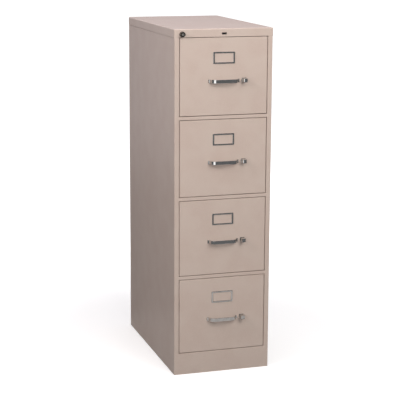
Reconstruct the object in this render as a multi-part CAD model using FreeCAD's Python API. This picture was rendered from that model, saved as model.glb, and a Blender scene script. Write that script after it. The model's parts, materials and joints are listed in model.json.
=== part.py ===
import FreeCAD, Part
import math
import os

# Four-drawer vertical file for letter-size folders. Sizes are millimetres.
# X is to the right, Y to the back and Z up. The origin is the middle of the whole object's
# plan box at floor level. Drawers are numbered from the top.

# Case
case_width = 381.0
case_depth = 673.0
case_height = 1321.0
case_sheet = 0.9
case_bend = 1.2
cap_overhang = 1.5
cap_corner = 3.0
stile_depth = 18.0
rear_flange = 12.0
base_pan_height = 50.0
base_pan_skirt = 25.0
kick_lip = 15.0
kick_shelf = 30.0
rail_depth = 25.0

# Drawers
drawer_count = 4
drawer_pitch = 304.8
reveal = 2.0
front_width = 340.4
front_height = 288.0
front_depth = 18.0
front_edge_radius = 2.0
top_front_height = 1288.0
drawer_sheet = 0.8
drawer_bend = 1.0
front_lip = 14.0
body_half_width = 158.0
body_length = 633.0
body_foot = 12.0
body_side_height = 250.0
body_top_flange = 6.0
body_front_wall = 264.0
body_back_wall = 200.0

# Slides
slide_length = 600.0
slide_setback = 25.0
slide_above_foot = 50.0
slide_half_height = 22.5
slide_thickness = 13.0
slide_sheet = 1.2
slide_inset = 4.0
channel_overlap = 1.5
middle_web_gap = 2.1
cage_length = 260.0
cage_start = 170.0
cage_sheet = 0.6
ball_radius = 1.8
balls_per_row = 4
upright_width = 32.0
upright_setbacks = (45.0, 560.0)

# Fittings on a drawer front
handle_half_span = 60.0
handle_grip_half = 41.0
handle_projection = 25.0
handle_strip = 4.0
handle_height = 13.0
handle_bend = 6.0
handle_drop = 160.5
label_width = 85.0
label_height = 44.8
label_window_width = 71.4
label_window_height = 32.8
label_thickness = 2.2
label_card_gap = 0.9
label_drop = 75.0
latch_left = 72.0
latch_width = 15.0
latch_height = 13.5
latch_projection = 22.0
latch_travel = 6.0
latch_drop = 159.0
latch_base_margin = 3.0
latch_base_thickness = 1.2
latch_stem_half = 3.0
latch_stem_half_height = 2.5
bolt_depth = 5.0
bolt_thickness = 2.0
bolt_half_height = 6.0
bolt_shortfall = 0.5

# Follower
follower_half_width = 150.0
follower_height = 195.0
follower_foot = 70.0
follower_lean = 12.0
follower_lip = 10.0
follower_rear_gap = 6.0

# Lock and name plate
lock_x = -161.5
lock_height = 1302.0
lock_bezel_radius = 10.3
lock_bezel_thickness = 1.2
lock_barrel_radius = 9.9
lock_barrel_length = 24.0
plunger_radius = 9.3
plunger_projection = 13.5
plunger_tail = 20.0
plug_radius = 6.0
plug_length = 21.0
keyway_width = 1.4
keyway_height = 7.0
keyway_depth = 9.0
running_clearance = 0.06
lock_travel = 10.0
bar_width = 11.0
bar_thickness = 3.0
bar_setback = 6.0
bar_bottom = 110.0
bar_top = 1308.0
bar_tab = 1.6
bar_tab_height = 16.0
guide_heights = (300.0, 760.0, 1180.0)
guide_height = 12.0
guide_wall = 1.6
guide_clearance = 0.4
plate_width = 18.0
plate_height = 7.0
plate_thickness = 1.4
plate_centre_height = 1302.7

# Levelling glides
glide_radius = 14.0
glide_pad = 5.0
glide_stem_radius = 4.0
glide_x = 150.0
glide_inset = 60.0

# Sizes worked out from the ones above
front_y = (handle_projection - case_depth) / 2
back_y = front_y + case_depth
case_half = case_width / 2
stile_x = front_width / 2 + reveal
inner_wall = case_half - case_sheet
cap_bottom = top_front_height + reveal
kick_top = top_front_height - (drawer_count - 1) * drawer_pitch - front_height - reveal
slide_face = body_half_width + slide_thickness
slide_front = front_y + slide_setback
tiny = 1e-6


def vector(x, y, z=0.0):
    """A point or direction."""
    return FreeCAD.Vector(x, y, z)


def box(x, y, z):
    """A block between two values on each axis, given as pairs."""
    return Part.makeBox(x[1] - x[0], y[1] - y[0], z[1] - z[0], vector(x[0], y[0], z[0]))


def drum(radius, x, y, z):
    """A cylinder along Y between the two values of y."""
    return Part.makeCylinder(radius, y[1] - y[0], vector(x, y[0], z), vector(0, 1, 0))


def mirrored(shape):
    """The same shape on the other side of the plane x = 0."""
    return shape.mirror(vector(0, 0, 0), vector(1, 0, 0))


def offset_points(points, distance):
    """The points of an open line moved to its left by a distance, with mitred corners."""
    runs = [(b - a).normalize() for a, b in zip(points, points[1:])]
    lefts = [vector(-run.y, run.x) for run in runs]
    before = [lefts[0]] + lefts
    after = lefts + [lefts[-1]]
    return [p + (a + b) * (distance / (1 + a.dot(b))) for p, a, b in zip(points, before, after)]


def rounded_face(points, radii):
    """A flat face inside a closed outline, with each corner rounded by its own radius."""
    entries = []
    exits = []
    edges = []
    for i, corner in enumerate(points):
        back = (points[i - 1] - corner).normalize()
        ahead = (points[(i + 1) % len(points)] - corner).normalize()
        half_angle = back.getAngle(ahead) / 2
        reach = radii[i] / math.tan(half_angle)
        entries.append(corner + back * reach)
        exits.append(corner + ahead * reach)
        if radii[i] > 0:
            nearest = radii[i] / math.sin(half_angle) - radii[i]
            middle = corner + (back + ahead).normalize() * nearest
            edges.append(Part.Arc(entries[i], middle, exits[i]).toShape())
    for i in range(len(points)):
        edges.append(Part.LineSegment(exits[i - 1], entries[i]).toShape())
    return Part.Face(Part.Wire(Part.__sortEdges__(edges)))


def folded_face(points, thickness, bend):
    """The section of a sheet folded along a line, with its thickness on the line's left.

    Every fold turns left, so the points lie on the outside of the bends.
    """
    outside = [vector(*point) for point in points]
    inside = offset_points(outside, thickness)
    folds = len(points) - 2
    radii = [0.0] + [bend + thickness] * folds + [0.0]
    radii += [0.0] + [bend] * folds + [0.0]
    return rounded_face(outside + inside[::-1], radii)


def folded_upright(points, z, thickness, bend):
    """A folded sheet with its section in plan, standing between two heights."""
    solid = folded_face(points, thickness, bend).extrude(vector(0, 0, z[1] - z[0]))
    solid.translate(vector(0, 0, z[0]))
    return solid


def folded_along_y(points, y, thickness, bend):
    """A folded sheet whose section is given as (x, z) points, running between two values of y."""
    solid = folded_face(points, thickness, bend).extrude(vector(0, 0, y[0] - y[1]))
    solid.rotate(vector(0, 0, 0), vector(1, 0, 0), 90)
    solid.translate(vector(0, y[0], 0))
    return solid


def folded_along_x(points, x, thickness, bend):
    """A folded sheet whose section is given as (y, z) points, running between two values of x."""
    solid = folded_face(points, thickness, bend).extrude(vector(0, 0, x[1] - x[0]))
    solid.rotate(vector(0, 0, 0), vector(1, 1, 1), 120)
    solid.translate(vector(x[0], 0, 0))
    return solid


def edges_at(shape, axis, value):
    """The edges that lie wholly in the plane where an axis has one value."""
    low = axis + "Min"
    high = axis + "Max"
    chosen = []
    for edge in shape.Edges:
        bounds = edge.BoundBox
        if abs(getattr(bounds, low) - value) < tiny and abs(getattr(bounds, high) - value) < tiny:
            chosen.append(edge)
    return chosen


def edges_along(shape, axis):
    """The straight edges that run along one axis."""
    return [e for e in shape.Edges if getattr(e.BoundBox, axis + "Length") > e.Length - tiny]


def group(shapes):
    """Several separate solids kept in one node."""
    solids = []
    for shape in shapes:
        solids.extend(shape.Solids)
    return Part.makeCompound(solids)


def save(name, shape):
    """Write one node as a STEP file."""
    shape.exportStep("parts/" + name + ".step")


def front_top(number):
    """Height of the top edge of a drawer's front."""
    return top_front_height - (number - 1) * drawer_pitch


def front_bottom(number):
    """Height of the bottom edge of a drawer's front."""
    return front_top(number) - front_height


def latch_height_of(number):
    """Height of the middle of a drawer's thumb latch."""
    return front_top(number) - latch_drop


def slide_height(number):
    """Height of the middle of a drawer's slides."""
    return front_bottom(number) + body_foot + slide_above_foot


def right_side_panel():
    """Side sheet folded into the front stile, its return and the rear flange."""
    rear_y = back_y - case_sheet
    section = [
        (stile_x, front_y + stile_depth),
        (stile_x, front_y),
        (case_half, front_y),
        (case_half, rear_y),
        (case_half - rear_flange, rear_y),
    ]
    panel = folded_upright(section, (0, cap_bottom), case_sheet, case_bend)
    top_edge = (cap_bottom, case_height - case_sheet)
    tongue = box((inner_wall, case_half), (front_y + 4 * case_bend, rear_y - 4 * case_bend), top_edge)
    panel = panel.fuse(tongue)
    for number in range(1, drawer_count + 1):
        z = latch_height_of(number)
        half = bolt_half_height + reveal
        slot_y = (front_y + bolt_depth - 1, front_y + bolt_depth + bolt_thickness + 1)
        panel = panel.cut(box((stile_x - 1, stile_x + 2), slot_y, (z - half, z + half)))
    return panel.removeSplitter()


def left_side_panel():
    """The right side panel's mirror image."""
    return mirrored(right_side_panel())


def back_panel():
    """Flat rear sheet that closes the two side panels' rear flanges."""
    return box((-case_half, case_half), (back_y - case_sheet, back_y), (0, cap_bottom))


def top_cap():
    """Lid with a deep rounded rim whose front is the header above the top drawer."""
    half = case_half + cap_overhang
    shell = box((-half, half), (front_y, back_y), (cap_bottom, case_height))
    shell = shell.makeFillet(cap_corner, edges_at(shell, "Z", case_height) + edges_along(shell, "Z"))
    inner_half = half - case_sheet
    inner_y = (front_y + case_sheet, back_y - case_sheet)
    inside = box((-inner_half, inner_half), inner_y, (cap_bottom, case_height - case_sheet))
    inside = inside.makeFillet(cap_corner - case_sheet, edges_along(inside, "Z"))
    shell = shell.cut(inside)
    shelf_half = stile_x - case_bend
    shelf_y = (front_y + case_sheet, front_y + stile_depth)
    shell = shell.fuse(box((-shelf_half, shelf_half), shelf_y, (cap_bottom, cap_bottom + case_sheet)))
    through = (front_y - 1, front_y + case_sheet + 1)
    return shell.cut(drum(lock_barrel_radius, lock_x, through, lock_height)).removeSplitter()


def kick_panel():
    """Plate below the bottom drawer, between the stiles, with a lip and a shelf behind it."""
    section = [
        (front_y + kick_shelf, kick_top),
        (front_y, kick_top),
        (front_y, 0),
        (front_y + kick_lip, 0),
    ]
    return folded_along_x(section, (-stile_x, stile_x), case_sheet, case_bend)


def base_pan():
    """Bottom sheet with a skirt down each side."""
    low = base_pan_height - base_pan_skirt
    section = [
        (inner_wall, low),
        (inner_wall, base_pan_height),
        (-inner_wall, base_pan_height),
        (-inner_wall, low),
    ]
    y = (front_y + kick_shelf, back_y - 2 * case_sheet - case_bend)
    return folded_along_y(section, y, case_sheet, case_bend)


def front_rails():
    """A channel between each pair of drawers, joining the two stiles."""
    rails = []
    for number in range(1, drawer_count):
        low = front_top(number + 1) + reveal
        high = front_bottom(number) - reveal
        section = [
            (front_y + rail_depth, high),
            (front_y, high),
            (front_y, low),
            (front_y + rail_depth, low),
        ]
        rails.append(folded_along_x(section, (-stile_x, stile_x), case_sheet, case_bend))
    return group(rails)


def slide_uprights():
    """Two channel posts inside each side panel, which carry the slides."""
    posts = []
    for setback in upright_setbacks:
        near = front_y + setback
        far = near + upright_width
        section = [(inner_wall, far), (slide_face, far), (slide_face, near), (inner_wall, near)]
        post = folded_upright(section, (base_pan_height, top_front_height), slide_sheet, case_bend)
        posts.append(post)
        posts.append(mirrored(post))
    return group(posts)


def channel(web_x, lip_x, half_height, z, y):
    """A C channel along Y: its web's outer face at one x, its flanges reaching to another."""
    turn = 1 if web_x > lip_x else -1
    section = [
        (lip_x, z - turn * half_height),
        (web_x, z - turn * half_height),
        (web_x, z + turn * half_height),
        (lip_x, z + turn * half_height),
    ]
    return folded_along_y(section, y, slide_sheet, slide_sheet / 2)


def slide_y():
    """Where a slide member lies when its drawer is shut."""
    return (slide_front, slide_front + slide_length)


def cabinet_channels():
    """Outer members of all the slides, fixed to the uprights."""
    channels = []
    lip_x = body_half_width + channel_overlap
    for number in range(1, drawer_count + 1):
        z = slide_height(number)
        member = channel(slide_face, lip_x, slide_half_height, z, slide_y())
        channels.append(member)
        channels.append(mirrored(member))
    return group(channels)


def middle_half_height():
    """Half the height of a middle member: one ball row inside the outer member."""
    return slide_half_height - slide_sheet - slide_inset


def inner_half_height():
    """Half the height of a drawer member: one ball row inside the middle member."""
    return middle_half_height() - slide_sheet - slide_inset


def middle_channels(number):
    """The pair of middle members, which travel half as far as the drawer."""
    web_x = slide_face - slide_sheet - middle_web_gap
    lip_x = body_half_width + channel_overlap
    member = channel(web_x, lip_x, middle_half_height(), slide_height(number), slide_y())
    return group([member, mirrored(member)])


def drawer_channels(number):
    """The pair of inner members, fixed to the drawer body's sides."""
    lip_x = slide_face - 2 * slide_sheet - 2 * middle_web_gap
    member = channel(body_half_width, lip_x, inner_half_height(), slide_height(number), slide_y())
    return group([member, mirrored(member)])


def ball_cages(number, outer_half_height, web_x, ball_x):
    """A pair of ball retainers: a thin web with a strip of balls along each edge."""
    z = slide_height(number)
    row = outer_half_height - slide_sheet - slide_inset / 2
    start = slide_front + cage_start
    y = (start, start + cage_length)
    half = cage_sheet / 2
    cage = box((web_x - half, web_x + half), y, (z - row, z + row))
    for side in (-1, 1):
        row_z = z + side * row
        strip = box((ball_x - ball_radius, web_x + half), y, (row_z - half, row_z + half))
        cage = cage.fuse(strip)
        for i in range(balls_per_row):
            ball_y = start + cage_length * (i + 0.5) / balls_per_row
            cage = cage.fuse(Part.makeSphere(ball_radius, vector(ball_x, ball_y, row_z)))
    return group([cage, mirrored(cage)])


def outer_ball_cages(number):
    """Retainers between the cabinet members and the middle members."""
    web_x = slide_face - slide_sheet - middle_web_gap / 2
    return ball_cages(number, slide_half_height, web_x, web_x - slide_inset)


def inner_ball_cages(number):
    """Retainers between the middle members and the drawer members."""
    web_x = slide_face - 2 * slide_sheet - 1.5 * middle_web_gap
    return ball_cages(number, middle_half_height(), web_x, web_x - slide_inset)


def drawer_front(number):
    """Folded pan with rounded front edges, lips behind, and slots for the latch and its bolt."""
    half = front_width / 2
    z = (front_bottom(number), front_top(number))
    y = (front_y, front_y + front_depth)
    pan = box((-half, half), y, z)
    edges = edges_at(pan, "Y", front_y) + edges_along(pan, "Y")
    pan = pan.makeFillet(front_edge_radius, edges)
    wall = drawer_sheet
    inside = box((wall - half, half - wall), (y[0] + wall, y[1] - wall), (z[0] + wall, z[1] - wall))
    window_z = (z[0] + front_lip, z[1] - front_lip)
    window = box((front_lip - half, half - front_lip), (y[1] - 2 * wall, y[1] + 1), window_z)
    latch_z = latch_height_of(number)
    stem_x = latch_left + latch_width / 2
    slot_x = (stem_x - latch_stem_half - latch_travel - wall, stem_x + latch_stem_half + wall)
    slot_z = (latch_z - latch_stem_half_height - wall, latch_z + latch_stem_half_height + wall)
    slot = box(slot_x, (y[0] - 1, y[0] + 2), slot_z)
    bolt_y = (y[0] + bolt_depth - wall, y[0] + bolt_depth + bolt_thickness + wall)
    bolt_z = (latch_z - bolt_half_height - wall, latch_z + bolt_half_height + wall)
    bolt_slot = box((half - 2 * wall, half + 1), bolt_y, bolt_z)
    return pan.cut(inside).cut(window).cut(slot).cut(bolt_slot)


def drawer_body(number):
    """Open tub of five welded sheets: floor, two flanged sides, front wall and lower back wall."""
    low = front_bottom(number) + body_foot
    high = low + body_side_height
    half = body_half_width
    sheet = drawer_sheet
    inner = half - sheet
    start = front_y + front_depth
    end = start + body_length
    side = box((inner, half), (start, end), (low, high))
    flange = box((inner, half + body_top_flange), (start, end), (high - sheet, high))
    side = side.fuse(flange).removeSplitter()
    floor = box((-inner, inner), (start + sheet, end - sheet), (low, low + sheet))
    front_wall = box((-inner, inner), (start, start + sheet), (low, low + body_front_wall))
    back_wall = box((-inner, inner), (end - sheet, end), (low, low + body_back_wall))
    return group([floor, side, mirrored(side), front_wall, back_wall])


def follower(number):
    """Leaning plate with a foot on the drawer's floor, pushed forward to hold files upright."""
    floor = front_bottom(number) + body_foot + drawer_sheet + reveal / 4
    rear = front_y + front_depth + body_length - drawer_sheet - follower_rear_gap
    heel = rear - follower_foot
    top = floor + follower_height
    section = [
        (heel + follower_lean + follower_lip, top),
        (heel + follower_lean, top),
        (heel, floor),
        (heel + follower_foot, floor),
    ]
    x = (-follower_half_width, follower_half_width)
    return folded_along_x(section, x, drawer_sheet, drawer_bend)


def handle(number):
    """Bow handle: a flat strip bent into a shallow trapezoid, square to the drawer's front."""
    z = front_top(number) - handle_drop
    section = [
        (-handle_half_span, front_y),
        (-handle_grip_half, front_y - handle_projection),
        (handle_grip_half, front_y - handle_projection),
        (handle_half_span, front_y),
    ]
    heights = (z - handle_height / 2, z + handle_height / 2)
    bow = folded_upright(section, heights, handle_strip, handle_bend)
    reach = 2 * handle_strip
    behind = box((-2 * handle_half_span, 2 * handle_half_span), (front_y, front_y + reach), heights)
    return bow.cut(behind)


def label_holder(number):
    """Raised frame with a window, and a shallow recess behind it for a card."""
    z = front_top(number) - label_drop
    half_x = label_width / 2
    half_z = label_height / 2
    frame = box((-half_x, half_x), (front_y - label_thickness, front_y), (z - half_z, z + half_z))
    frame = frame.makeFillet(reveal, edges_along(frame, "Y"))
    frame = frame.makeChamfer(label_thickness / 3, edges_at(frame, "Y", front_y - label_thickness))
    window_x = label_window_width / 2
    window_z = label_window_height / 2
    through = (front_y - label_thickness - 1, front_y + 1)
    frame = frame.cut(box((-window_x, window_x), through, (z - window_z, z + window_z)))
    card_x = window_x + reveal
    card_z = window_z + reveal
    recess = (front_y - label_card_gap, front_y + 1)
    return frame.cut(box((-card_x, card_x), recess, (z - card_z, z + card_z)))


def thumb_latch(number):
    """Thumb piece on a sliding base plate, with a stem that goes through the drawer's front."""
    z = latch_height_of(number)
    right = latch_left + latch_width
    face = front_y - latch_projection
    outline = [
        (latch_left, front_y - latch_base_thickness),
        (latch_left, face),
        (right - latch_base_margin, face),
        (right, face + latch_base_margin),
        (right - 2 * latch_base_thickness, front_y - latch_base_margin),
        (right, front_y - latch_base_thickness),
    ]
    radii = [0, 2.0, 1.5, 1.5, 2.0, 0]
    knob = rounded_face([vector(*point) for point in outline], radii)
    knob = knob.extrude(vector(0, 0, latch_height))
    knob.translate(vector(0, 0, z - latch_height / 2))
    clearance = reveal / 10
    base_half = latch_height / 2 + 1
    base_x = (latch_left - latch_base_margin, right + latch_base_margin)
    base_y = (front_y - latch_base_thickness, front_y - clearance)
    base = box(base_x, base_y, (z - base_half, z + base_half))
    stem_x = latch_left + latch_width / 2
    stem_z = (z - latch_stem_half_height, z + latch_stem_half_height)
    stem_y = (front_y - latch_base_thickness, front_y + bolt_depth)
    stem = box((stem_x - latch_stem_half, stem_x + latch_stem_half), stem_y, stem_z)
    return knob.fuse(base).fuse(stem).removeSplitter()


def latch_bolt(number):
    """Flat bar behind the drawer's front, driven by the thumb latch, its nose by the right stile."""
    z = latch_height_of(number)
    start = latch_left + latch_width / 2 - latch_stem_half
    y = (front_y + bolt_depth, front_y + bolt_depth + bolt_thickness)
    return box((start, stile_x - bolt_shortfall), y, (z - bolt_half_height, z + bolt_half_height))


def lock_housing():
    """Fixed barrel of the lock, with a thin bezel outside the header."""
    bezel = drum(lock_bezel_radius, lock_x, (front_y - lock_bezel_thickness, front_y), lock_height)
    barrel = drum(lock_barrel_radius, lock_x, (front_y, front_y + lock_barrel_length), lock_height)
    through = (front_y - 2 * lock_bezel_thickness, front_y + 2 * lock_barrel_length)
    bore = drum(plunger_radius + running_clearance, lock_x, through, lock_height)
    return bezel.fuse(barrel).cut(bore)


def lock_plunger():
    """Sliding cylinder of the lock, pushed in to lock all the drawers."""
    face = front_y - plunger_projection
    plunger = drum(plunger_radius, lock_x, (face, front_y + plunger_tail), lock_height)
    plunger = plunger.makeFillet(reveal / 2, edges_at(plunger, "Y", face))
    bore = drum(plug_radius + running_clearance, lock_x, (face - 1, face + plug_length), lock_height)
    return plunger.cut(bore)


def lock_plug():
    """Turning core of the lock, with a keyway in its face."""
    face = front_y - plunger_projection
    plug = drum(plug_radius, lock_x, (face, face + plug_length - running_clearance), lock_height)
    keyway_x = (lock_x - keyway_width / 2, lock_x + keyway_width / 2)
    keyway_z = (lock_height - keyway_height / 2, lock_height + keyway_height / 2)
    return plug.cut(box(keyway_x, (face - 1, face + keyway_depth), keyway_z))


def bar_x():
    """Where the lock bar lies behind the left stile, as a pair of x values."""
    outer = -inner_wall + 2 * guide_wall
    return (outer, outer + bar_width)


def lock_bar():
    """Upright flat bar with a tab near each drawer, lowered by the plunger."""
    x = bar_x()
    y = (front_y + bar_setback, front_y + bar_setback + bar_thickness)
    bar = box(x, y, (bar_bottom, bar_top))
    for number in range(1, drawer_count + 1):
        z = front_top(number) - bar_tab_height
        tab = box((x[1], x[1] + bar_tab), y, (z - bar_tab_height, z))
        bar = bar.fuse(tab)
    return bar.removeSplitter()


def lock_bar_guides():
    """Three blocks on the left side panel that the lock bar slides through."""
    x = bar_x()
    y = (front_y + bar_setback, front_y + bar_setback + bar_thickness)
    gap = guide_clearance
    wall = guide_clearance + guide_wall
    guides = []
    for z in guide_heights:
        heights = (z, z + guide_height)
        block = box((-inner_wall, x[1] + wall), (y[0] - wall, y[1] + wall), heights)
        hole = box((x[0] - gap, x[1] + gap), (y[0] - gap, y[1] + gap), (z - 1, z + guide_height + 1))
        guides.append(block.cut(hole))
    return group(guides)


def name_plate():
    """Small plain plate in the middle of the header, with no marking."""
    half_x = plate_width / 2
    half_z = plate_height / 2
    z = (plate_centre_height - half_z, plate_centre_height + half_z)
    plate = box((-half_x, half_x), (front_y - plate_thickness, front_y), z)
    return plate.makeFillet(plate_thickness, edges_along(plate, "Y"))


def levelling_glides():
    """Four round pads on stems under the base pan."""
    glides = []
    stem_top = base_pan_height - case_sheet
    for x in (-glide_x, glide_x):
        for y in (front_y + glide_inset, back_y - glide_inset):
            pad = Part.makeCylinder(glide_radius, glide_pad, vector(x, y, 0))
            stem = Part.makeCylinder(glide_stem_radius, stem_top, vector(x, y, 0))
            glides.append(pad.fuse(stem))
    return group(glides)


case_parts = (
    left_side_panel,
    right_side_panel,
    back_panel,
    top_cap,
    kick_panel,
    base_pan,
    front_rails,
    slide_uprights,
    cabinet_channels,
    lock_housing,
    lock_plunger,
    lock_plug,
    lock_bar,
    lock_bar_guides,
    name_plate,
    levelling_glides,
)
drawer_parts = (
    drawer_front,
    drawer_body,
    drawer_channels,
    middle_channels,
    outer_ball_cages,
    inner_ball_cages,
    handle,
    label_holder,
    thumb_latch,
    latch_bolt,
    follower,
)

os.makedirs("parts", exist_ok=True)
for make in case_parts:
    save(make.__name__, make())
for number in range(1, drawer_count + 1):
    for make in drawer_parts:
        save(make.__name__ + "_" + str(number), make(number))
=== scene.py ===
import json
import math

import bmesh
import bpy
import numpy as np
from mathutils import Euler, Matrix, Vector
from mathutils.geometry import delaunay_2d_cdt


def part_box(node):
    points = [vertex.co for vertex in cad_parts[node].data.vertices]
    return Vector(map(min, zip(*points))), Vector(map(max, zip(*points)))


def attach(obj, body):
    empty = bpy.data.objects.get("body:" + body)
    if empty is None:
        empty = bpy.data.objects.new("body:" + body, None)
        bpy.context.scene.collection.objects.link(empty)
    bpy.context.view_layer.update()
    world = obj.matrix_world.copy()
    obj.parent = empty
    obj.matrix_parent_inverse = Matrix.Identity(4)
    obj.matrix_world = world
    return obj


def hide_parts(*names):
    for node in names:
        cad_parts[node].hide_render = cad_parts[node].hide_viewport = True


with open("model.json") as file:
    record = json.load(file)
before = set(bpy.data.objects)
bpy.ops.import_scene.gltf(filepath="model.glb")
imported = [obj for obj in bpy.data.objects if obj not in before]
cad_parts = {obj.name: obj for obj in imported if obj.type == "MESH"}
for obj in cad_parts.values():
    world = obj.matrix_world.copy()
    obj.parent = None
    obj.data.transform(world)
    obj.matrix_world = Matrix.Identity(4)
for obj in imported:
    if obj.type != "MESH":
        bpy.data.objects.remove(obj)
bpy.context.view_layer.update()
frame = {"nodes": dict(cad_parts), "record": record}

# A four-drawer upright file in baked enamel, with bright plated pulls, label frames and latches.
# Sizes are metres, written as millimetres times MM; places come from the frame.
MM = 0.001
# The drawers, from the top.
DRAWERS = (1, 2, 3, 4)
# Steps of a corner seen in plan, and its points with one on the flat before and one after it.
CORNER_STEPS = 6
CORNER_POINTS = CORNER_STEPS + 3
# Steps of a rounded edge, and of a circle turned on a lathe.
ROUND_STEPS = 5
LATHE_STEPS = 56
# How far from a rounding the point lies that keeps the flat beside it flat in shading.
SUPPORT = 0.35 * MM
# Points this close are merged, and an edge that turns further than this is a crease.
WELD_DISTANCE = 0.002 * MM
CREASE = math.radians(38.0)
CASE_SHEET = 0.9 * MM
DRAWER_SHEET = 0.8 * MM
# The thumb latch's stem, whose left side is flush with the bolt's start, and how far it slides.
STEM_HALF = 3 * MM
THUMB_TRAVEL = 6 * MM


# ---------------------------------------------------------------- surfaces


def quarter(radius, steps=ROUND_STEPS):
    """A quarter circle as two rows: inset r(1 - cos t) and rise r sin t, as t goes from 0 to
    a right angle.
    """
    turn = np.linspace(0, math.pi / 2, steps + 1)
    return radius * (1 - np.cos(turn)), radius * np.sin(turn)


def loops(half_u, half_v, radius):
    """Rounded rectangles about the origin, one row of points for each entry.

    Corner k turns from k to k + 1 right angles: u is the corner's centre plus r cos t and v is
    its centre plus r sin t. A point lies on the flat just before and just after each corner, so
    that the flats stay flat in shading.
    """
    half_u, half_v, radius = np.broadcast_arrays(half_u, half_v, radius)
    half_u, half_v, radius = (a.astype(float).reshape(-1, 1) for a in (half_u, half_v, radius))
    corner = np.repeat(np.arange(4), CORNER_POINTS)
    part = np.concatenate([[0], np.linspace(0, 1, CORNER_STEPS + 1), [1]])
    slide = np.concatenate([[-1], np.zeros(CORNER_STEPS + 1), [1]])
    turn = (corner + np.tile(part, 4)) * math.pi / 2
    room = np.clip(np.minimum(half_u, half_v) - radius, 0, SUPPORT)
    along = np.tile(slide, 4) * room
    sign_u = np.array([1, -1, -1, 1])[corner]
    sign_v = np.array([1, 1, -1, -1])[corner]
    u = sign_u * (half_u - radius) + radius * np.cos(turn) - along * np.sin(turn)
    v = sign_v * (half_v - radius) + radius * np.sin(turn) + along * np.cos(turn)
    return u, v


def facing_y(u, v, y, centre=(0, 0)):
    """Rows of points whose loops lie across X and Z, each row at its own y."""
    y = np.broadcast_to(np.asarray(y, float).reshape(-1, 1), u.shape)
    return np.stack([u + centre[0], y, v + centre[1]], -1)


def facing_z(u, v, z, centre=(0, 0)):
    """Rows of points whose loops lie across X and Y, each row at its own height."""
    z = np.broadcast_to(np.asarray(z, float).reshape(-1, 1), u.shape)
    return np.stack([u + centre[0], v + centre[1], z], -1)


def skin(rows, around=True, joined=False, caps=(True, True), left_out=()):
    """A surface through rows of points, with four-sided faces between neighbouring rows.

    around closes each row on itself and joined closes the last row on the first. caps puts one
    flat face on the first and the last row. left_out lists (row, column) faces that another
    surface fills.
    """
    rows = np.asarray(rows, float)
    count, width = rows.shape[:2]
    index = np.arange(count * width).reshape(count, width)
    if around:
        index = np.concatenate([index, index[:, :1]], 1)
    if joined:
        index = np.concatenate([index, index[:1]], 0)
    quads = np.stack([index[:-1, :-1], index[:-1, 1:], index[1:, 1:], index[1:, :-1]], -1)
    keep = np.ones(quads.shape[:2], bool)
    for row, column in left_out:
        keep[row, column] = False
    faces = quads[keep].tolist()
    if caps[0] and not joined:
        faces.append(list(range(width))[::-1])
    if caps[1] and not joined:
        faces.append(list(range((count - 1) * width, count * width)))
    return rows.reshape(-1, 3), faces


def circle(radius, steps):
    """Points of a circle about the origin: r cos t, r sin t."""
    turn = np.arange(steps) * 2 * math.pi / steps
    return np.stack([radius * np.cos(turn), radius * np.sin(turn)], -1)


def inside(points, outline):
    """Whether each point lies inside a closed outline: an odd count of crossings to its right."""
    start = outline[None]
    end = np.roll(outline, -1, 0)[None]
    x, y = points[:, None, 0], points[:, None, 1]
    spans = (start[..., 1] > y) != (end[..., 1] > y)
    rise = np.where(end[..., 1] == start[..., 1], 1, end[..., 1] - start[..., 1])
    crossing = start[..., 0] + (y - start[..., 1]) * (end[..., 0] - start[..., 0]) / rise
    return (spans & (x < crossing)).sum(1) % 2 == 1


def plate(outline, holes, placed):
    """A flat sheet between its outline and its holes, as triangles.

    The two columns of each point go to the places that the function placed gives them.
    """
    rims = [np.asarray(rim, float) for rim in (outline, *holes)]
    starts = np.cumsum([0] + [len(rim) for rim in rims])
    edges = []
    for start, rim in zip(starts, rims):
        ring = start + np.arange(len(rim))
        edges += np.stack([ring, np.roll(ring, -1)], -1).tolist()
    points = [Vector(point) for point in np.concatenate(rims)]
    found, _, faces, *_ = delaunay_2d_cdt(points, edges, [], 0, 1e-9)
    found = np.array([tuple(point) for point in found])
    faces = np.array(faces)
    middle = found[faces].mean(1)
    kept = inside(middle, rims[0])
    for hole in rims[1:]:
        kept &= ~inside(middle, hole)
    return placed(found[:, 0], found[:, 1]), faces[kept].tolist()


def at_y(y):
    """Places the columns of a plate across X and Z, at one y."""
    return lambda a, b: np.stack([a, np.full_like(a, y), b], -1)


def at_x(x):
    """Places the columns of a plate across Y and Z, at one x."""
    return lambda a, b: np.stack([np.full_like(a, x), a, b], -1)


def bent_line(points, radii, closed=False):
    """A line whose corners are arcs tangent to both runs: its points and their directions.

    Each arc turns through the corner's own angle about a centre one radius to the inner side,
    with a point on the run just before it and just after it.
    """
    points = np.asarray(points, float)
    before = points - np.roll(points, 1, 0)
    after = np.roll(points, -1, 0) - points
    if not closed:
        before[0], after[-1] = after[0], before[-1]
    before = before / np.linalg.norm(before, axis=1, keepdims=True)
    after = after / np.linalg.norm(after, axis=1, keepdims=True)
    places, ways = [], []
    for point, arriving, leaving, radius in zip(points, before, after, radii):
        turn = math.atan2(arriving[0] * leaving[1] - arriving[1] * leaving[0], arriving @ leaving)
        if abs(turn) < 1e-6:
            places.append(point[None])
            ways.append(arriving[None])
            continue
        left = np.array([-arriving[1], arriving[0]])
        reach = radius * math.tan(abs(turn) / 2)
        arm = -left * math.copysign(radius, turn)
        swing = np.linspace(0, turn, 2 * ROUND_STEPS + 1)[:, None]
        quarter_on = np.array([-arm[1], arm[0]])
        arc = point - arriving * reach - arm + arm * np.cos(swing) + quarter_on * np.sin(swing)
        lead = point - arriving * (reach + SUPPORT)
        tail = point + leaving * (reach + SUPPORT)
        places.append(np.concatenate([lead[None], arc, tail[None]]))
        way = arriving * np.cos(swing) + left * np.sin(swing)
        ways.append(np.concatenate([arriving[None], way, leaving[None]]))
    return np.concatenate(places), np.concatenate(ways)


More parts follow.
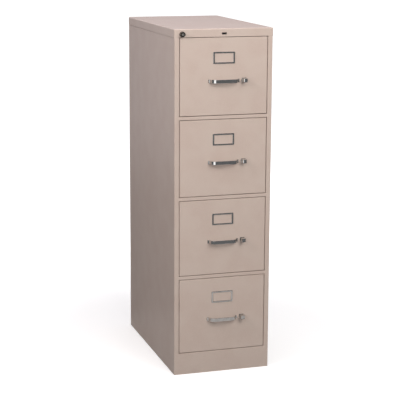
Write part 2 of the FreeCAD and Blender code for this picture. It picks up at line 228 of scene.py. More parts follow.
def to_the_left(ways):
    """Directions turned a quarter to the left."""
    return np.stack([-ways[:, 1], ways[:, 0]], -1)


def rounded_block(low, high, radius, axis=1):
    """A block with all its edges rounded, as rounded rectangles carried along one axis.

    Each end draws in by r(1 - cos t) while it moves out by r sin t.
    """
    low, high = np.asarray(low, float), np.asarray(high, float)
    across = [a for a in (0, 1, 2) if a != axis]
    half, middle = (high - low) / 2, (high + low) / 2
    draw, rise = quarter(radius)
    past = radius + SUPPORT
    inset = np.concatenate([[past], draw[::-1], [0, 0], draw, [past]])
    lower = np.concatenate([[0], radius - rise[::-1], [past]])
    station = np.concatenate([low[axis] + lower, high[axis] - lower[::-1]])
    least_corner = 0.02 * MM
    corner = np.maximum(radius - inset, least_corner)
    u, v = loops(half[across[0]] - inset, half[across[1]] - inset, corner)
    rows = np.zeros(u.shape + (3,))
    rows[..., across[0]] = u + middle[across[0]]
    rows[..., across[1]] = v + middle[across[1]]
    rows[..., axis] = station[:, None]
    return skin(rows)


def turned(radii, stations, centre, **ends):
    """A profile turned about a line along Y: a circle of its own radius at each y."""
    unit = circle(1.0, LATHE_STEPS)
    u = np.asarray(radii, float)[:, None] * unit[:, 0]
    v = np.asarray(radii, float)[:, None] * unit[:, 1]
    return skin(facing_y(u, v, stations, centre), **ends)


def lip(radius, depth):
    """The rolled lip of an opening: how far out of the opening and how deep each row lies.

    It starts on the face, just outside the roll, follows a quarter circle and runs straight in.
    """
    draw, rise = quarter(radius)
    out = np.concatenate([[radius + SUPPORT], draw[::-1], [0, 0]])
    deep = np.concatenate([[0], radius - rise[::-1], [radius + SUPPORT, depth]])
    return out, deep


# ---------------------------------------------------------------- meshes and pieces


def make_mesh(name, skins, material, facing=None):
    """Joins surfaces into one mesh object at the origin.

    Doubles are merged before the normals are recalculated. facing turns an open sheet so that
    most of its area looks that way.
    """
    points = np.concatenate([surface[0] for surface in skins])
    faces = []
    first = 0
    for places, surface_faces in skins:
        faces += [[first + i for i in face] for face in surface_faces]
        first += len(places)
    mesh = bpy.data.meshes.new(name)
    mesh.from_pydata(points.tolist(), [], faces)
    work = bmesh.new()
    work.from_mesh(mesh)
    bmesh.ops.remove_doubles(work, verts=work.verts, dist=WELD_DISTANCE)
    bmesh.ops.recalc_face_normals(work, faces=work.faces)
    if facing is not None:
        total = sum((face.normal * face.calc_area() for face in work.faces), Vector())
        if total.dot(Vector(facing)) < 0:
            bmesh.ops.reverse_faces(work, faces=work.faces)
    work.to_mesh(mesh)
    work.free()
    mesh.polygons.foreach_set("use_smooth", np.ones(len(mesh.polygons), bool))
    mesh.set_sharp_from_angle(angle=CREASE)
    mesh.materials.append(material)
    made = bpy.data.objects.new(name, mesh)
    bpy.context.scene.collection.objects.link(made)
    return made


def make_piece(name, skins, slot, body, nodes, wall=0.0, finish=None, **shaping):
    """A piece that rides on a body and stands for CAD nodes, with a wall behind an open sheet."""
    piece = make_mesh(name, skins, finish or finishes[slot], **shaping)
    if wall:
        thicken = piece.modifiers.new("sheet", "SOLIDIFY")
        thicken.thickness = wall
        thicken.offset = -1.0
        thicken.use_even_offset = True
    flats = piece.modifiers.new("flats", "WEIGHTED_NORMAL")
    flats.keep_sharp = True
    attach(piece, body)
    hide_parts(*nodes)
    return piece


# ---------------------------------------------------------------- finishes


def linear(hex_colour):
    """An sRGB hex colour as linear red, green and blue, and an alpha of 1."""
    channels = np.array([int(hex_colour[i : i + 2], 16) / 255 for i in (1, 3, 5)])
    low = channels / 12.92
    high = ((channels + 0.055) / 1.055) ** 2.4
    return (*np.where(channels <= 0.04045, low, high).tolist(), 1.0)


def add(tree, kind, inputs=None, **settings):
    """Adds a node with its settings, and sets or links each input, by name or by place."""
    node = tree.nodes.new("ShaderNode" + kind)
    for setting, value in settings.items():
        setattr(node, setting, value)
    for key, value in (inputs or {}).items():
        if isinstance(value, bpy.types.NodeSocket):
            tree.links.new(value, node.inputs[key])
        else:
            node.inputs[key].default_value = value
    return node


# The middle of a noise's range, where most of its values fall.
MIDDLE = {1: 0.3, 2: 0.7}


def per(size):
    """The scale of a texture whose features are this size."""
    return 1.0 / size


def new_material(name):
    """An empty node material: itself, its tree, its output and the object's coordinates."""
    material = bpy.data.materials.new(name)
    material.use_nodes = True
    tree = material.node_tree
    tree.nodes.clear()
    output = add(tree, "OutputMaterial")
    coordinates = add(tree, "TexCoord").outputs["Object"]
    return material, tree, output, coordinates


def span(node):
    """Lowest and highest corners of a CAD node, as arrays."""
    low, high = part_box(node)
    return np.array(low), np.array(high)


def grained_finish(name, grain, clouds, colours, rough, depth, **shader):
    """A finish with a fine grain in relief, under clouds that shift its tone and its sheen.

    grain is its size, its detail and how far it is drawn out along each axis; clouds is a size.
    """
    material, tree, output, place = new_material(name)
    size, detail, drawn_out = grain
    run = add(tree, "Mapping", {"Vector": place, "Scale": drawn_out})
    fine = add(
        tree, "TexNoise", {"Vector": run.outputs[0], "Scale": per(size), "Detail": detail}
    )
    broad = add(tree, "TexNoise", {"Vector": place, "Scale": per(clouds), "Detail": 2.0})
    first, second = (linear(colour) for colour in colours)
    tone = add(
        tree, "MapRange", {"Value": broad.outputs[0], **MIDDLE, 3: 0.0, 4: 1.0},
        interpolation_type="SMOOTHSTEP",
    )
    base = add(tree, "Mix", {0: tone.outputs[0], 6: first, 7: second}, data_type="RGBA")
    sheen = add(
        tree, "MapRange", {"Value": broad.outputs[0], **MIDDLE, 3: rough[0], 4: rough[1]},
        interpolation_type="SMOOTHSTEP",
    )
    relief = add(
        tree, "Bump", {"Height": fine.outputs[0], "Distance": depth, "Strength": 0.5}
    )
    inputs = {"Base Color": base.outputs[2], "Roughness": sheen.outputs[0]}
    inputs["Normal"] = relief.outputs[0]
    surface = add(tree, "BsdfPrincipled", {**inputs, **shader})
    tree.links.new(surface.outputs[0], output.inputs[0])
    return material, tree, place, surface


def baked_putty_enamel():
    """Sheet steel, sprayed with putty-coloured enamel and baked.

    Gives the eye a soft satin sheen, a fine orange peel, faint waves in the sheet, slightly
    uneven tone, and a few pale scuffs low down where shoes and floor machines reach.
    """
    material, tree, output, place = new_material("baked_putty_enamel")
    peel = add(tree, "TexNoise", {"Vector": place, "Scale": per(1.6 * MM), "Detail": 1.5})
    waves = add(tree, "TexNoise", {"Vector": place, "Scale": per(140 * MM), "Detail": 1.0})
    tone = add(tree, "TexNoise", {"Vector": place, "Scale": per(70 * MM), "Detail": 3.0})
    mottle = add(tree, "TexNoise", {"Vector": place, "Scale": per(5 * MM), "Detail": 2.0})
    uneven = add(
        tree, "MapRange", {"Value": tone.outputs[0], **MIDDLE, 3: 0.0, 4: 1.0},
        interpolation_type="SMOOTHSTEP",
    )
    sprayed = add(
        tree, "Mix", {0: uneven.outputs[0], 6: linear("#CCBAAE"), 7: linear("#C8B4A8")},
        data_type="RGBA",
    )
    specks = add(
        tree, "MapRange", {"Value": mottle.outputs[0], **MIDDLE, 3: 0.0, 4: 0.3},
        interpolation_type="SMOOTHSTEP",
    )
    baked = add(
        tree, "Mix", {0: specks.outputs[0], 6: sprayed.outputs[2], 7: linear("#D0BEB3")},
        data_type="RGBA",
    )
    drawn_along = add(tree, "Mapping", {"Vector": place, "Scale": (0.18, 0.18, 1.0)})
    streaks = add(
        tree,
        "TexNoise",
        {
            "Vector": drawn_along.outputs[0],
            "Scale": per(4 * MM),
            "Detail": 4.0,
            "Roughness": 0.7,
        },
    )
    scraped = add(
        tree, "MapRange", {"Value": streaks.outputs[0], 1: 0.6, 2: 0.72, 3: 0.0, 4: 0.55},
        interpolation_type="SMOOTHSTEP",
    )
    height = add(tree, "SeparateXYZ", {0: place}).outputs["Z"]
    low_down = add(
        tree, "MapRange", {"Value": height, 1: 4 * MM, 2: 80 * MM, 3: 1.0, 4: 0.0},
        interpolation_type="SMOOTHSTEP",
    )
    scuff = add(
        tree, "Math", {0: scraped.outputs[0], 1: low_down.outputs[0]}, operation="MULTIPLY"
    )
    scuffed = add(
        tree, "Mix", {0: scuff.outputs[0], 6: baked.outputs[2], 7: linear("#D9CCC2")},
        data_type="RGBA",
    )
    rough = add(
        tree, "MapRange", {"Value": mottle.outputs[0], **MIDDLE, 3: 0.36, 4: 0.46},
        interpolation_type="SMOOTHSTEP",
    )
    sheet_waves = add(
        tree, "Bump", {"Height": waves.outputs[0], "Distance": 0.3 * MM, "Strength": 0.18}
    )
    relief = add(
        tree,
        "Bump",
        {
            "Height": peel.outputs[0],
            "Distance": 0.03 * MM,
            "Strength": 0.6,
            "Normal": sheet_waves.outputs[0],
        },
    )
    surface = add(
        tree,
        "BsdfPrincipled",
        {
            "Base Color": scuffed.outputs[2],
            "Roughness": rough.outputs[0],
            "IOR": 1.5,
            "Normal": relief.outputs[0],
        },
    )
    tree.links.new(surface.outputs[0], output.inputs[0])
    return material


def bright_chrome_plate():
    """Steel strip, polished and plated with nickel and chromium.

    Gives the eye hard, nearly neutral mirror reflections, with hair scratches from rings and
    wiping that run mostly along the pull.
    """
    grain = (0.5 * MM, 3.0, (0.04, 1, 1))
    return grained_finish(
        "bright_chrome_plate", grain, 9 * MM, ("#D0CFCD", "#C4C3C1"), (0.07, 0.14),
        0.006 * MM, Metallic=1.0,
    )[0]


def zinc_plated_steel():
    """Rolled steel, electroplated with zinc.

    Gives the eye a pale grey metal with a faint spangle, cloudy sheen and fine rolling lines.
    """
    grain = (0.7 * MM, 2.0, (1, 0.03, 1))
    material, tree, place, surface = grained_finish(
        "zinc_plated_steel", grain, 25 * MM, ("#B7BBBF", "#A5A8A9"), (0.3, 0.44),
        0.01 * MM, Metallic=1.0,
    )
    plain = surface.inputs["Base Color"].links[0].from_socket
    spangle = add(tree, "TexVoronoi", {"Vector": place, "Scale": per(5 * MM)})
    spangled = add(
        tree, "Mix", {0: 0.12, 6: plain, 7: spangle.outputs["Color"]},
        data_type="RGBA", blend_type="OVERLAY",
    )
    tree.links.new(spangled.outputs[2], surface.inputs["Base Color"])
    return material


def blackened_nickel_casting():
    """Zinc die casting, machined and plated with blackened nickel, for the lock's barrel.

    Gives the eye a dark satin metal with fine rings left by turning.
    """
    grain = (0.4 * MM, 1.0, (0.1, 1, 0.1))
    return grained_finish(
        "blackened_nickel_casting", grain, 2 * MM, ("#77726C", "#65605A"), (0.2, 0.3),
        0.01 * MM, Metallic=1.0,
    )[0]


def chrome_with_painted_highlight():
    """Chromium on brass, for the lock's core.

    Gives the eye a painted highlight: the face is pale about the keyway and darker out
    towards its rim, colour that stands in for light caught on the plated face.
    """
    grain = (0.35 * MM, 4.0, (1, 1, 1))
    material, tree, place, surface = grained_finish(
        "chrome_with_painted_highlight", grain, 1.5 * MM, ("#EFECE6", "#DCD8CE"), (0.42, 0.6),
        0.02 * MM, Metallic=1.0,
    )
    # Painted highlight: pale within 3.4 mm of the keyway, fading to a dark rim by 4.8 mm.
    low, high = span("lock_plug")
    centred = add(tree, "Mapping", {"Vector": place, "Location": tuple(-(low + high) / 2)})
    across = add(tree, "Mapping", {"Vector": centred.outputs[0], "Scale": (1, 0, 1)})
    distance = add(tree, "VectorMath", {0: across.outputs[0]}, operation="LENGTH")
    outside_highlight = add(
        tree,
        "MapRange",
        {"Value": distance.outputs["Value"], 1: 3.4 * MM, 2: 4.8 * MM, 3: 0.0, 4: 1.0},
        interpolation_type="SMOOTHSTEP",
    )
    highlight_tone = surface.inputs["Base Color"].links[0].from_socket
    painted_highlight_mix = add(
        tree, "Mix", {0: outside_highlight.outputs[0], 6: highlight_tone, 7: linear("#6B665E")}, data_type="RGBA"
    )
    tree.links.new(painted_highlight_mix.outputs[2], surface.inputs["Base Color"])
    return material


def darkened_aluminium_plate():
    """Thin aluminium plate, brushed along its length and anodised dark.

    Gives the eye a small dark badge with a fine lengthways brushing and no marking.
    """
    grain = (0.3 * MM, 2.0, (0.02, 1, 1))
    return grained_finish(
        "darkened_aluminium_plate", grain, 6 * MM, ("#4B4A4C", "#3A393B"), (0.3, 0.42),
        0.01 * MM, Metallic=1.0,
    )[0]


def moulded_nylon():
    """Injection-moulded nylon for the glides under the base.

    Gives the eye a dark matt plastic with a fine spark-eroded grain.
    """
    grain = (0.6 * MM, 2.0, (1, 1, 1))
    return grained_finish(
        "moulded_nylon", grain, 4 * MM, ("#2E2D2B", "#242321"), (0.45, 0.6),
        0.03 * MM, IOR=1.53,
    )[0]


finishes = {
    "beige_paint": baked_putty_enamel(),
    "chrome": bright_chrome_plate(),
    "zinc_steel": zinc_plated_steel(),
    "lock_metal": blackened_nickel_casting(),
    "plate_finish": darkened_aluminium_plate(),
    "glide_nylon": moulded_nylon(),
}


# ---------------------------------------------------------------- case


left_low, left_high = span("left_side_panel")
cap_low, cap_high = span("top_cap")
face = left_low[1]
case_half = -left_low[0]
opening_half = -left_high[0]
case_rear = left_high[1]
seam = cap_low[2]
# The case's skin stops just under the cap.
case_top = seam - 0.2 * MM


def opening_rows(number, radius, depth):
    """The lip of one drawer opening as rows of points; the top one is open at the header."""
    low, high = span(f"drawer_front_{number}")
    reveal = opening_half - high[0]
    bottom, top = low[2] - reveal, high[2] + reveal
    out, deep = lip(radius, depth)
    corner = 1.2 * MM
    u, v = loops(opening_half + out, (top - bottom) / 2 + out, corner + out)
    rows = facing_y(u, v, face + deep, (0, (top + bottom) / 2))
    if number > DRAWERS[0]:
        return rows
    rows = rows[:, 2 * CORNER_POINTS :]
    ends = rows[:, [0, -1]].copy()
    ends[:, :, 2] = case_top
    return np.concatenate([ends[:, :1], rows, ends[:, 1:]], 1)


def make_case_shell():
    """Case skin as one folded sheet.

    The face frame is a flat plate between its outline and the openings. The sides carry a plan
    line with rounded folds straight up, and step in to a groove and a tongue under the cap.
    """
    depth = 18 * MM
    roll = 1.3 * MM
    fold = 2.2 * MM
    fold_room = 3 * MM
    return_width = 12 * MM
    groove, tuck, tongue = 2.2 * MM, 1.4 * MM, 14 * MM
    edge = case_half - fold_room
    shoulder = case_top - groove
    openings = [opening_rows(number, roll, depth) for number in DRAWERS]
    rims = [rows[0][:, [0, 2]] for rows in openings]
    left = [(-edge, case_top), (-edge, shoulder), (-edge, 0)]
    right = [(edge, 0), (edge, shoulder), (edge, case_top)]
    outline = np.concatenate([left, right, rims[0][::-1]])
    skins = [plate(outline, rims[1:], at_y(face))]
    skins.append(skin(openings[0], around=False, caps=(False, False)))
    skins += [skin(rows, caps=(False, False)) for rows in openings[1:]]
    corners = [
        (edge, face),
        (case_half, face),
        (case_half, case_rear),
        (case_half - return_width, case_rear),
    ]
    line, _ = bent_line(corners, [0, fold, fold, 0])
    # The place along the line of the front fold's last point.
    folded = 2 * ROUND_STEPS + 3
    heights = np.array([0, shoulder, shoulder, case_top + tongue])
    for side in (1, -1):
        plan = line * (side, 1)
        tucked = plan + (-side * tuck, 0)
        rows = np.stack([plan, plan, tucked, tucked])
        rows = facing_z(rows[..., 0], rows[..., 1], heights)
        fold_x, fold_y = (np.tile(plan[: folded + 1, i], (2, 1)) for i in (0, 1))
        corner = facing_z(fold_x, fold_y, (shoulder, case_top))
        skins.append(skin(rows[:2], around=False, caps=(False, False)))
        skins.append(skin(rows[1:, folded:], around=False, caps=(False, False)))
        skins.append(skin(corner, around=False, caps=(False, False)))
    nodes = ("left_side_panel", "right_side_panel", "front_rails", "kick_panel")
    make_piece(
        "case_shell", skins, "beige_paint", "case", nodes, wall=CASE_SHEET, facing=(0, -1, 0)
    )


def make_cap():
    """Cap as a closed shell: rounded rectangles carried from its underside out, down and back up.

    Its edge draws in by r(1 - cos t) while it rises by r sin t, and its lower edge is a half
    circle of the sheet's thickness. The header's wall is a plate with the lock's hole.
    """
    sheet = CASE_SHEET
    edge, edge_steps = 4.5 * MM, 8
    corner, least_corner = 3.5 * MM, 0.3 * MM
    lock_hole, hole_steps = 9.95 * MM, 40
    low, high = cap_low[2], cap_high[2]
    draw, rise = quarter(edge, edge_steps)
    inner_draw, inner_rise = quarter(edge - sheet, edge_steps)
    half_turn = np.linspace(0, math.pi, 7)
    inset = np.concatenate([
        [edge + SUPPORT],
        sheet + inner_draw[::-1],
        [sheet],
        sheet / 2 * (1 + np.cos(half_turn)),
        [0, 0],
        draw,
        [edge + SUPPORT],
    ])
    height = np.concatenate([
        [high - sheet],
        high - edge + inner_rise[::-1],
        [high - edge - SUPPORT],
        low + sheet / 2 * (1 - np.sin(half_turn)),
        [low + sheet / 2 + SUPPORT, high - edge - SUPPORT],
        high - edge + rise,
        [high],
    ])
    half = (cap_high - cap_low) / 2
    middle = (cap_high + cap_low) / 2
    u, v = loops(half[0] - inset, half[1] - inset, np.maximum(corner - inset, least_corner))
    rows = facing_z(u, v, height, middle[:2])
    inner_row = len(inner_draw) + 1
    outer_row = inner_row + len(half_turn) + 1
    front_column = 3 * CORNER_POINTS - 1
    low_lock, high_lock = span("lock_housing")
    centre = (low_lock + high_lock) / 2
    hole = circle(lock_hole, hole_steps) + centre[[0, 2]]
    skins = []
    walls = []
    for row in (inner_row, outer_row):
        a, b = rows[row, front_column], rows[row, front_column + 1]
        c = rows[row + 1, front_column]
        wall = [(a[0], a[2]), (b[0], b[2]), (b[0], c[2]), (a[0], c[2])]
        skins.append(plate(wall, [hole], at_y(a[1])))
        walls.append(np.stack([hole[:, 0], np.full(hole_steps, a[1]), hole[:, 1]], -1))
    left_out = [(inner_row, front_column), (outer_row, front_column)]
    skins.append(skin(rows, left_out=left_out))
    skins.append(skin(walls, caps=(False, False)))
    make_piece("top_cap_shell", skins, "beige_paint", "case", ("top_cap",))


def make_header_flange():
    """Return flange of the header over the top drawer: a thin rounded block."""
    side_gap, lift, edge = 0.5 * MM, 0.1 * MM, 0.4 * MM
    front, rear = face + 1.0 * MM, face + 18 * MM
    low = (-opening_half + side_gap, front, seam + lift)
    high = (opening_half - side_gap, rear, seam + lift + CASE_SHEET)
    skins = [rounded_block(low, high, edge, axis=2)]
    piece = make_mesh("header_flange", skins, finishes["beige_paint"])
    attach(piece, "case")


def make_back():
    """Back panel: a flat sheet with two wide fields pressed in.

    Each field drops by half its depth times (1 - cos of pi s), s running across its slope.
    """
    low, high = span("back_panel")
    half_x = high[0]
    middle = (low[2] + high[2]) / 2
    half_z = (high[2] - low[2]) / 2
    corner = 2 * MM
    margin = 42 * MM
    drop = 2.6 * MM
    slope = 9 * MM
    field_corner, least_corner = 24 * MM, 3 * MM
    u, v = loops(half_x, half_z, corner)
    outline = np.stack([u[0], v[0] + middle], -1)
    field_half = np.array([half_x - margin, (half_z - margin - margin / 2) / 2])
    share = np.linspace(0, 1, 9)
    inset = np.concatenate([[0], slope * share, [slope + SUPPORT]])
    inset[1:] += SUPPORT
    deep = np.concatenate([[0], drop * (1 - np.cos(math.pi * share)) / 2, [drop]])
    holes, skins = [], []
    for side in (1, -1):
        centre = (0, middle + side * (field_half[1] + margin / 2))
        corners = np.maximum(field_corner - inset, least_corner)
        u, v = loops(field_half[0] - inset, field_half[1] - inset, corners)
        rows = facing_y(u, v, high[1] - deep, centre)
        skins.append(skin(rows, caps=(False, True)))
        holes.append(rows[0][:, [0, 2]])
    skins.append(plate(outline, holes, at_y(high[1])))
    make_piece(
        "back_skin", skins, "beige_paint", "case", ("back_panel",), wall=CASE_SHEET,
        facing=(0, 1, 0),
    )


# ---------------------------------------------------------------- drawers


def make_drawer_front(number):
    """Drawer front as a folded pan: rounded rectangles carried from the lip behind to the face.

    Its edges draw in by r(1 - cos t) while they come forward by r sin t. The face has the
    latch's slot and the right-hand wall has the bolt's.
    """
    low, high = span(f"drawer_front_{number}")
    half = (high - low) / 2
    centre = ((high + low) / 2)[[0, 2]]
    front, rear = low[1], high[1]
    edge, back_edge, corner = 2.0 * MM, 1.0 * MM, 2.0 * MM
    lip_width, least_corner = 14 * MM, 0.15 * MM
    draw, rise = quarter(edge)
    back_draw, back_rise = quarter(back_edge)
    inset = np.concatenate([
        [lip_width, back_edge + SUPPORT],
        back_draw[::-1],
        [0, 0],
        draw,
        [edge + SUPPORT],
    ])
    y = np.concatenate([
        [rear, rear],
        rear - back_edge + back_rise[::-1],
        [rear - back_edge - SUPPORT, front + edge + SUPPORT],
        front + edge - rise,
        [front],
    ])
    u, v = loops(half[0] - inset, half[2] - inset, np.maximum(corner - inset, least_corner))
    rows = facing_y(u, v, y, centre)
    wall_row = len(back_draw) + 2
    right_column = 4 * CORNER_POINTS - 1
    latch_low, latch_high = span(f"latch_bolt_{number}")
    bolt = (latch_low + latch_high) / 2
    stem = latch_low[0] + STEM_HALF
    # Half the width, half the height and the corner of each slot.
    u, v = loops(STEM_HALF + 3.8 * MM, 3.3 * MM, 1.2 * MM)
    stem_slot = np.stack([u[0] + stem - THUMB_TRAVEL / 2, v[0] + bolt[2]], -1)
    u, v = loops(1.8 * MM, 6.8 * MM, 0.6 * MM)
    bolt_slot = np.stack([u[0] + bolt[1], v[0] + bolt[2]], -1)
    a, b = rows[wall_row, -1], rows[wall_row + 1, 0]
    wall = [(a[1], a[2]), (b[1], a[2]), (b[1], b[2]), (a[1], b[2])]
    skins = [
        skin(rows, caps=(False, False), left_out=[(wall_row, right_column)]),
        plate(rows[-1][:, [0, 2]], [stem_slot], at_y(front)),
        plate(wall, [bolt_slot], at_x(a[0])),
    ]
    make_piece(
        f"drawer_front_skin_{number}", skins, "beige_paint", f"drawer_{number}",
        (f"drawer_front_{number}",), wall=DRAWER_SHEET, facing=(0, -1, 0),
    )


def make_handle(number):
    """Bow pull: a crowned bar section carried along a line with small feet and two round bends.

    The section is a rounded rectangle whose outer side swells by c(1 - (v / h) squared).
    """
    low, high = span(f"handle_{number}")
    thick, crown, edge = 3.0 * MM, 0.3 * MM, 0.5 * MM
    tall = high[2] - low[2]
    sunk = 0.8 * MM
    flat = high[1] - thick / 2 + sunk
    outer = low[1] + thick / 2 + crown
    end, heel, grip = high[0] - 0.1 * MM, high[0] - 5.2 * MM, 45.5 * MM
    corners = [
        (-end, flat), (-heel, flat), (-grip, outer), (grip, outer), (heel, flat), (end, flat),
    ]
    foot_bend, grip_bend = 6.0 * MM, 21.0 * MM
    line, ways = bent_line(corners, [0, foot_bend, grip_bend, grip_bend, foot_bend, 0])
    u, v = loops(thick / 2, tall / 2, edge)
    u, v = u[0], v[0]
    u = np.where(u < 0, u - crown * (1 - (2 * v / tall) ** 2), u)
    plan = line[:, None] + to_the_left(ways)[:, None] * u[None, :, None]
    height = np.broadcast_to((low[2] + high[2]) / 2 + v, plan.shape[:2])
    rows = np.concatenate([plan, height[..., None]], -1)
    make_piece(
        f"pull_{number}", [skin(rows)], "chrome", f"drawer_{number}", (f"handle_{number}",)
    )


def make_label_holder(number):
    """Label frame: a rounded bead carried round the window.

    Across the bead its height is t times the square root of 1 - |2 f - 1| to the power 7.
    """
    low, high = span(f"label_holder_{number}")
    half = (high - low) / 2
    middle = (high + low) / 2
    bead = half[[0, 2]] - np.array([35.7, 16.4]) * MM
    fullness = 7
    corner, corner_loss = 3.2 * MM, 2.2 * MM
    sunk = 0.2 * MM
    thick = high[1] - low[1]
    share = (1 - np.cos(np.linspace(0, math.pi, 17))) / 2
    rise = thick * np.sqrt(np.clip(1 - np.abs(2 * share - 1) ** fullness, 0, 1))
    u, v = loops(
        half[0] - bead[0] * share, half[2] - bead[1] * share, corner - corner_loss * share
    )
    y = high[1] - rise
    y[[0, -1]] = high[1] + sunk
    rows = facing_y(u, v, y, middle[[0, 2]])
    make_piece(
        f"label_frame_{number}", [skin(rows, joined=True)], "chrome", f"drawer_{number}",
        (f"label_holder_{number}",),
    )


def make_thumb_latch(number):
    """Thumb latch: a scooped outline carried up, drawn in at its ends, on a rounded plate."""
    low, high = span(f"thumb_latch_{number}")
    middle = (low[2] + high[2]) / 2
    tall, margin = 13.5 * MM, 3 * MM
    plate_margin, plate_edge = 2.0 * MM, 0.45 * MM
    plate_front, plate_rear = face - 1.2 * MM, face - 0.2 * MM
    stem_front, stem_half_height, stem_edge = face - 0.8 * MM, 2.5 * MM, 0.3 * MM
    left, right = low[0] + margin, high[0] - margin
    outline = [
        (left, face - 0.6 * MM),
        (right, face - 0.6 * MM),
        (right - 2.4 * MM, face - 5 * MM),
        (right, low[1] + 3 * MM),
        (right - 1.2 * MM, low[1]),
        (left + 2.4 * MM, low[1]),
        (left, low[1] + 1.5 * MM),
    ]
    bends = np.array([1, 1, 2.6, 1.5, 0.9, 0.9, 0.9]) * MM
    line, ways = bent_line(outline, bends, closed=True)
    edge = 0.9 * MM
    draw, rise = quarter(edge)
    inset = np.concatenate([[edge + SUPPORT], draw[::-1], [0, 0], draw, [edge + SUPPORT]])
    lower = np.concatenate([[0], edge - rise[::-1], [edge + SUPPORT]])
    height = middle - tall / 2 + np.concatenate([lower, tall - lower[::-1]])
    plan = line[None] + to_the_left(ways)[None] * inset[:, None, None]
    level = np.broadcast_to(height[:, None, None], plan.shape[:2] + (1,))
    rows = np.concatenate([plan, level], -1)
    stem = span(f"latch_bolt_{number}")[0][0] + STEM_HALF
    skins = [
        skin(rows),
        rounded_block(
            (low[0] + plate_margin, plate_front, low[2]),
            (high[0] - plate_margin, plate_rear, high[2]),
            plate_edge,
        ),
        rounded_block(
            (stem - STEM_HALF, stem_front, middle - stem_half_height),
            (stem + STEM_HALF, high[1], middle + stem_half_height),
            stem_edge,
        ),
    ]
    make_piece(
        f"latch_thumb_piece_{number}", skins, "chrome", f"latch_{number}",
        (f"thumb_latch_{number}",),
    )


# ---------------------------------------------------------------- lock and badge


def make_lock():
    """Lock: bezel and barrel, plunger, and core with a keyway, each a turned profile."""
    low, high = span("lock_housing")
    centre = ((low + high) / 2)[[0, 2]]
    outer = (high[0] - low[0]) / 2
    bore, barrel = 9.36 * MM, 9.9 * MM
    # From the back of the bore, round the bezel's face to the case, and back along the barrel.
    radii = [bore, bore, bore + 0.2 * MM, outer - 0.35 * MM, outer - 0.1 * MM, outer, outer]
    stations = [high[1], low[1] + 0.2 * MM, low[1], low[1], low[1] + 0.1 * MM]
    stations += [low[1] + 0.35 * MM, face]
    skins = [turned(radii + [barrel, barrel], stations + [face, high[1]], centre, joined=True)]
    make_piece("lock_bezel", skins, "lock_metal", "case", ("lock_housing",))

    low, high = span("lock_plunger")
    outer = (high[0] - low[0]) / 2
    bore, bevel, edge = 6.06 * MM, 0.25 * MM, 1.0 * MM
    draw, rise = quarter(edge)
    radii = np.concatenate([[bore, bore, bore + bevel], outer - draw[::-1], [outer, outer]])
    stations = np.concatenate([
        [high[1], low[1] + bevel, low[1]],
        low[1] + edge - rise[::-1],
        [low[1] + edge + SUPPORT, high[1]],
    ])
    skins = [turned(radii, stations, centre, joined=True)]
    make_piece("lock_button", skins, "lock_metal", "lock_plunger", ("lock_plunger",))

    low, high = span("lock_plug")
    outer = (high[0] - low[0]) / 2
    bevel, keyway_depth = 0.3 * MM, 9 * MM
    u, v = (np.tile(a, (2, 1)) for a in loops(0.7 * MM, 3.5 * MM, 0.25 * MM))
    keyway = facing_y(u, v, [low[1], low[1] + keyway_depth], centre)
    rim = circle(outer - bevel, LATHE_STEPS) + centre
    skins = [
        plate(rim, [keyway[0][:, [0, 2]]], at_y(low[1])),
        skin(keyway, caps=(False, True)),
        turned(
            [outer - bevel, outer, outer], [low[1], low[1] + bevel, high[1]], centre,
            caps=(False, True),
        ),
    ]
    make_piece(
        "lock_core", skins, "chrome", "lock_plug", ("lock_plug",), finish=chrome_with_painted_highlight()
    )


def make_badge():
    """Blank badge: a thin block with rounded edges."""
    low, high = span("name_plate")
    skins = [rounded_block(low, high + (0, 0.2 * MM, 0), 0.5 * MM)]
    make_piece("blank_badge", skins, "plate_finish", "case", ("name_plate",))


make_case_shell()
make_cap()
make_header_flange()
make_back()
for number in DRAWERS:
    make_drawer_front(number)
    make_handle(number)
    make_label_holder(number)
    make_thumb_latch(number)
make_lock()
make_badge()

for part in frame["record"]["subparts"]:
    mesh = frame["nodes"][part["node"]].data
    mesh.materials.clear()
    mesh.materials.append(finishes[part["material_slot"]])


# ---------------------------------------------------------------- studio


def pale_stage(name, near, far, colour="#F2F1EF"):
    """A pale finish with light of its own, from near at the middle to far at a distance."""
    material, tree, output, place = new_material(name)
    distance = add(tree, "VectorMath", {0: place}, operation="LENGTH")
    glow = add(
        tree,
        "MapRange",
        {"Value": distance.outputs["Value"], 1: 0.6, 2: 1.8, 3: near, 4: far},
        interpolation_type="SMOOTHSTEP",
    )
    surface = add(
        tree,
        "BsdfPrincipled",
        {
            "Base Color": linear(colour),
            "Roughness": 0.9,
            "Emission Color": linear("#FFFFFF"),
            "Emission Strength": glow.outputs[0],
        },
    )
    tree.links.new(surface.outputs[0], output.inputs[0])
    return material


def studio():
    """Pale floor, a greyer one that only reflections see, and a white surround for the camera."""
    sweep = pale_stage("pale_sweep", 0.42, 1.0)
    pinhole, reach, far = 0.02, 1.25, 60.0
    level, forward, steps = -0.3 * MM, -0.75, 96
    ring = circle(1.0, steps)
    rows = [
        np.concatenate([ring * r + (0, y), np.full((steps, 1), level)], -1)
        for r, y in ((pinhole, forward), (reach, forward), (far, 0))
    ]
    near = make_mesh("floor_near", [skin(rows[:2], caps=(True, False))], sweep)
    beyond = make_mesh("floor_beyond", [skin(rows[1:], caps=(False, False))], sweep)
    sheen = make_mesh(
        "floor_sheen", [skin(rows[:2], caps=(True, False))],
        pale_stage("grey_sheen", 0.08, 0.12, "#B3B1AE"),
    )
    for stage in (near, beyond):
        stage.visible_glossy = False
        stage.visible_diffuse = False
        stage.visible_shadow = False
    sheen.visible_camera = False
    sheen.visible_diffuse = False
    sheen.visible_shadow = False
    slices, pole = np.linspace(-math.pi / 2, math.pi / 2, 25), 0.001
    rows = np.array([
        np.concatenate([ring * max(math.cos(a), pole), np.full((steps, 1), math.sin(a))], -1)
        for a in slices
    ])
    dome = make_mesh("surround", [skin(rows * far)], pale_stage("white_surround", 1.0, 1.0))
    for ray in ("diffuse", "glossy", "transmission", "volume_scatter", "shadow"):
        setattr(dome, "visible_" + ray, False)


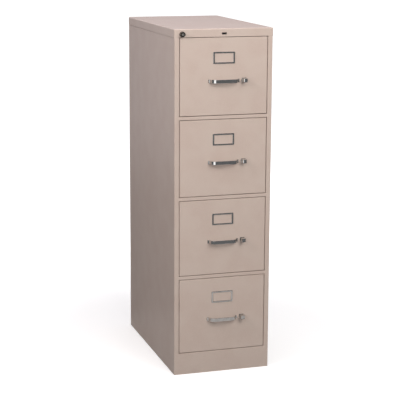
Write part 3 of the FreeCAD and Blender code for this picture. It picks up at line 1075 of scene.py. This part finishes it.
def lamp(name, place, aim, size, power, colour="#FFFFFF", glossy=True):
    """A soft rectangular lamp at a place, turned to its aim and unseen by the camera."""
    data = bpy.data.lights.new(name, "AREA")
    data.shape = "RECTANGLE"
    data.size, data.size_y = size
    data.energy = power
    data.color = linear(colour)[:3]
    made = bpy.data.objects.new(name, data)
    made.location = place
    made.rotation_euler = (Vector(aim) - Vector(place)).to_track_quat("-Z", "Y").to_euler()
    made.visible_glossy = glossy
    made.visible_camera = False
    bpy.context.scene.collection.objects.link(made)


def camera(target, azimuth, elevation, distance, lens, roll):
    """Camera on a sphere about its target, rolled about its own axis."""
    a, e = math.radians(azimuth), math.radians(elevation)
    back = Vector((math.sin(a) * math.cos(e), -math.cos(a) * math.cos(e), math.sin(e)))
    data = bpy.data.cameras.new("camera")
    data.lens, data.sensor_width = lens, 36.0
    data.clip_end = 200.0
    made = bpy.data.objects.new("camera", data)
    made.location = Vector(target) + back * distance
    turn = (-back).to_track_quat("-Z", "Y") @ Euler((0, 0, math.radians(roll))).to_quaternion()
    made.rotation_mode = "QUATERNION"
    made.rotation_quaternion = turn
    bpy.context.scene.collection.objects.link(made)
    bpy.context.scene.camera = made


studio()
lamp("key", (0.8, -2.9, 2.6), (0, -0.3, 1.1), (2.8, 2.0), 79, "#FBFAF8", glossy=False)
lamp("left", (-2.3, -1.2, 2.5), (-0.1, -0.1, 1.2), (0.9, 0.9), 28, "#FFF7F8", glossy=False)
lamp("left_strip", (-1.75, -2.8, 1.25), (0, -0.3, 1.0), (2.1, 2.3), 21)
lamp("above", (0.1, 0.2, 3.2), (0, 0.1, 0), (2.0, 2.0), 25, "#F8F4FF")
lamp("back_wall", (-0.5, 3.6, 1.6), (0, 0, 1.2), (5.5, 3.0), 22, "#F8F4FC")
lamp("rim", (-0.8, 3.3, 2.4), (-0.1, 0, 1.3), (1.4, 0.7), 6)

world = bpy.data.worlds.new("studio_air")
world.use_nodes = True
world.node_tree.nodes["Background"].inputs["Color"].default_value = linear("#CBCCCF")
world.node_tree.nodes["Background"].inputs["Strength"].default_value = 0.28
bpy.context.scene.world = world
bpy.context.scene.view_settings.view_transform = "Standard"

camera((0.0105, -0.0006, 0.6100), -17.31, 11.94, 5.2458, 117.47, 0.29)
